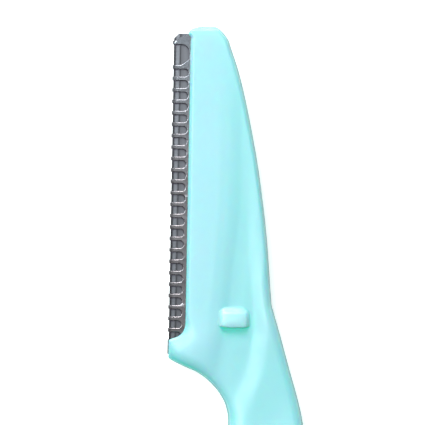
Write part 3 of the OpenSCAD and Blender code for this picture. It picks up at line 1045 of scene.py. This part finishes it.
connect(tree, shader, {
    "Specular IOR Level": between(tree, upright, *side_reach, *side_gloss),
    "Roughness": between(tree, noise(tree, *gloss_noise), *noise_span, *gloss_rough),
    "Normal": bump(tree, noise(tree, *mould_noise), mould_depth),
    "IOR": plastic_ior, "Subsurface Weight": scatter_share,
    "Subsurface Radius": scatter_mm, "Subsurface Scale": MM})
print("Green light travels", scatter_mm[1], "mm in the plastic, red only", scatter_mm[0], "mm")

# %% [markdown]
# ### Rolled steel sheet
# The guard's sheet was rolled lengthwise, so its grain runs along Y. Its colour is painted bluish near the
# tip and warmer lower down, a painted reflection of the room's colours. Its nose in front of the edge is
# painted darker, as painted shade.

# %% Guard steel
steel_cool, steel_warm, rolled_shade = (0.29, 0.30, 0.33, 1), (0.34, 0.31, 0.32, 1), (0.75, 0.75, 0.77, 1)
warm_reflection_reach, nose_reach, nose_painted_shade = (3, 20), (0.05, 0.45), 0.45
cloud_noise, cloud_share = ((1.2, 3.0, 1.2), 3.0), 0.35
rolled_noise, rolled_share = ((0.035, 2.5, 0.4), 4.0, 0.6), 0.3
rolled_rough, rolled_depth = (0.2, 0.27), 0.0004

rolled, tree, shader = add_finish("rolled_steel")
grain = noise(tree, *rolled_noise)
cloud = noise(tree, *cloud_noise)
# Painted reflection: the steel is painted bluish near the tip and warmer lower down.
tone = mixed(tree, by_s(tree, *warm_reflection_reach), steel_cool, steel_warm)
tone = mixed(tree, between(tree, cloud, *noise_span, 0, cloud_share), tone, steel_cool)
tone = mixed(tree, between(tree, grain, *noise_span, 0, rolled_share), tone, rolled_shade, "MULTIPLY")
# Painted shade: the nose in front of the edge is painted darker.
tone = mixed(tree, 1.0, tone, by_e(tree, *nose_reach, nose_painted_shade, 1), "MULTIPLY")
connect(tree, shader, {
    "Base Color": tone, "Metallic": 1.0,
    "Roughness": between(tree, grain, *noise_span, *rolled_rough),
    "Normal": bump(tree, grain, rolled_depth)})
print("The sheet turns warm between s", warm_reflection_reach[0], "and", warm_reflection_reach[1], "mm")

# %% [markdown]
# ### Ground blade steel
# The blade is ground across its edge, so its fine marks run along X. The honed edge reflects away from
# us and looks dark, and so does the line where the grinding begins: both are painted dark into the
# colour, as painted reflection. Under the bars the steel gets a painted shadow of the bars. A colour ramp
# starts with two stops, and the others are added.

# %% Blade steel
hone_tones = [
    (0.0, 0.08), (0.22, 0.1), (0.36, 0.34), (0.6, 0.35), (0.72, 0.27), (0.86, 0.27), (1.0, 0.55),
    (1.5, 0.65)]
ramp_e = hone_tones[-1][0]
blade_tone, mark_shade, bar_shadow_tone = (0.28, 0.275, 0.30, 1), (0.8, 0.8, 0.8, 1), (0.03, 0.026, 0.035, 1)
mark_noise, mark_share = ((1.6, 0.03, 0.4), 4.0, 0.6), 0.5
bar_shadow_reach, bar_shadow_lean, bar_shadow_span = 0.65, (0, 0.9, 0), (0.42, 0.82)
ground_rough, ground_depth = (0.32, 0.44), 0.0006

ground, tree, shader = add_finish("ground_steel")
marks = noise(tree, *mark_noise)
# Painted reflection: the honed edge and the line where the grinding begins are painted dark.
ramp = add_node(tree, "ValToRGB", {0: by_e(tree, 0, ramp_e)})
ramp.color_ramp.interpolation = "EASE"
elements = ramp.color_ramp.elements
for stop, (stop_e, level) in enumerate(hone_tones):
    element = elements[stop] if stop < 2 else elements.new(stop_e / ramp_e)
    element.position = stop_e / ramp_e
    element.color = (level, level, level, 1)
tone = mixed(tree, 1.0, blade_tone, ramp.outputs[0], "MULTIPLY")
tone = mixed(tree, between(tree, marks, *noise_span, 0, mark_share), tone, mark_shade, "MULTIPLY")
# Painted shadow: the steel under each bar is painted darker, found by occlusion leaning towards the tip.
tone = mixed(tree, between(tree, shelter(tree, bar_shadow_reach, bar_shadow_lean), *bar_shadow_span, 1, 0), tone, bar_shadow_tone)
connect(tree, shader, {
    "Base Color": tone, "Metallic": 1.0,
    "Roughness": between(tree, marks, *noise_span, *ground_rough),
    "Normal": bump(tree, marks, ground_depth)})
print("The blade has", len(hone_tones), "tones across its bevel")

# %% [markdown]
# ### The floor
# A pale floor turns white where the camera or a reflection looks at it, because it glows for those rays
# only, and it still keeps the razor's shadow.

# %% Floor
white = (1, 1, 1, 1)
paper_tone, paper_rough, paper_glow = (0.9, 0.9, 0.9, 1), 0.9, 0.65
floor_half = 4.0

clear_selection()
bpy.ops.mesh.primitive_plane_add(size=2 * floor_half)
floor = name_new("floor")
paper, tree, shader = add_finish("paper")
path = add_node(tree, "LightPath").outputs
seen = path["Is Camera Ray"]
for ray in ("Is Glossy Ray", "Is Transmission Ray"):
    seen = maths(tree, "MAXIMUM", seen, path[ray])
connect(tree, shader, {
    "Base Color": paper_tone, "Roughness": paper_rough, "Emission Color": white,
    "Emission Strength": between(tree, seen, 0, 1, 0, paper_glow)})
floor.data.materials.append(paper)
print("The floor is", 2 * floor_half, "m wide")

# %% [markdown]
# ### The light
# One large soft box, the key, stands beyond the tip, a little to the left. A small panel higher up gives
# the sheen on everything that leans to the upper left, and an even sky fills the rest. Each lamp is
# given by its name, its distance and size in metres, its watts and colour, and two angles: how far it is
# turned from the tip to the left, and how high it stands.

# %% Light
sky_level = 0.22
lit_s = 25
lamps = [
    ("key", 0.5, 0.225, 2.24, (1, 1, 1), 17, 33),
    ("sheen", 0.98, 0.32, 4.6, (0.84, 0.95, 0.98), 60, 68.5)]

world = bpy.data.worlds.new("studio")
world.use_nodes = True
sky = world.node_tree.nodes["Background"]
connect(world.node_tree, sky.inputs, {"Color": white, "Strength": sky_level})
bpy.context.scene.world = world
for name, away, size, watts, colour, turn_deg, lift_deg in lamps:
    turn, lift = math.radians(turn_deg), math.radians(lift_deg)
    lamp_data = bpy.data.lights.new(name, "AREA")
    lamp_data.size = size
    lamp_data.energy = watts
    lamp_data.color = colour
    lamp = bpy.data.objects.new(name, lamp_data)
    bpy.context.scene.collection.objects.link(lamp)
    toward = (-math.sin(turn) * math.cos(lift), math.cos(turn) * math.cos(lift), math.sin(lift))
    lamp.location = [start + away * way for start, way in zip(place(mid_e, lit_s), toward)]
    lamp.rotation_euler = (lift - math.pi / 2, 0, turn)
    print("The", name, "stands at", [round(side, 2) for side in lamp.location], "m")
bpy.context.scene.view_settings.view_transform = "Standard"

# %% [markdown]
# ### Putting the pieces in place
# Each piece rides on the razor's one body, takes the place of its solid, which is hidden, and gets its
# finish.

# %% The frame again
for piece, node, slot, finish in (
        (moulding, "handle", "handle_plastic", plastic), (blade, "blade", "blade_steel", ground),
        (guard, "blade_guard", "guard_steel", rolled)):
    piece.data.materials.clear()
    piece.data.materials.append(finish)
    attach(piece, "root")
    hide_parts(node)
